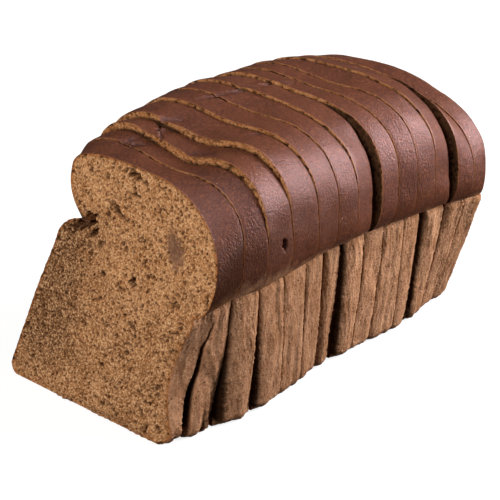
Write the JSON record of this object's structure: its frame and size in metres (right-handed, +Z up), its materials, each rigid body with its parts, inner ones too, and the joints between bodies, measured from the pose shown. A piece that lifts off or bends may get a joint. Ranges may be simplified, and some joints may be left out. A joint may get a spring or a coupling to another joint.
{
  "type": "sliced rye bread loaf",
  "caption": "Sliced rye tin loaf standing as baked, brown crust with a domed cap over straight walls, slumped cut end with open tan crumb, slices slightly out of line",
  "frame": {"origin": "middle of the loaf's box, on the plane it stands on", "axes": "+X runs along the row of slices from the open cut end to the heel, +Y is across the loaf to its left seen from the cut end, +Z is up"},
  "size_m": [0.1842, 0.1144, 0.1142],
  "materials": {
    "crumb": "open rye crumb, matt, fine pores",
    "crust": "baked brown crust with a soft sheen"
  },
  "bodies": {
    "root": {"slice_01": "crumb", "slice_02": "crust", "slice_03": "crust", "slice_04": "crust", "slice_05": "crust", "slice_06": "crust", "slice_07": "crust", "slice_08": "crust", "slice_09": "crust", "slice_10": "crust", "slice_11": "crust", "slice_12": "crust", "slice_13": "crust"}
  },
  "joints": []
}
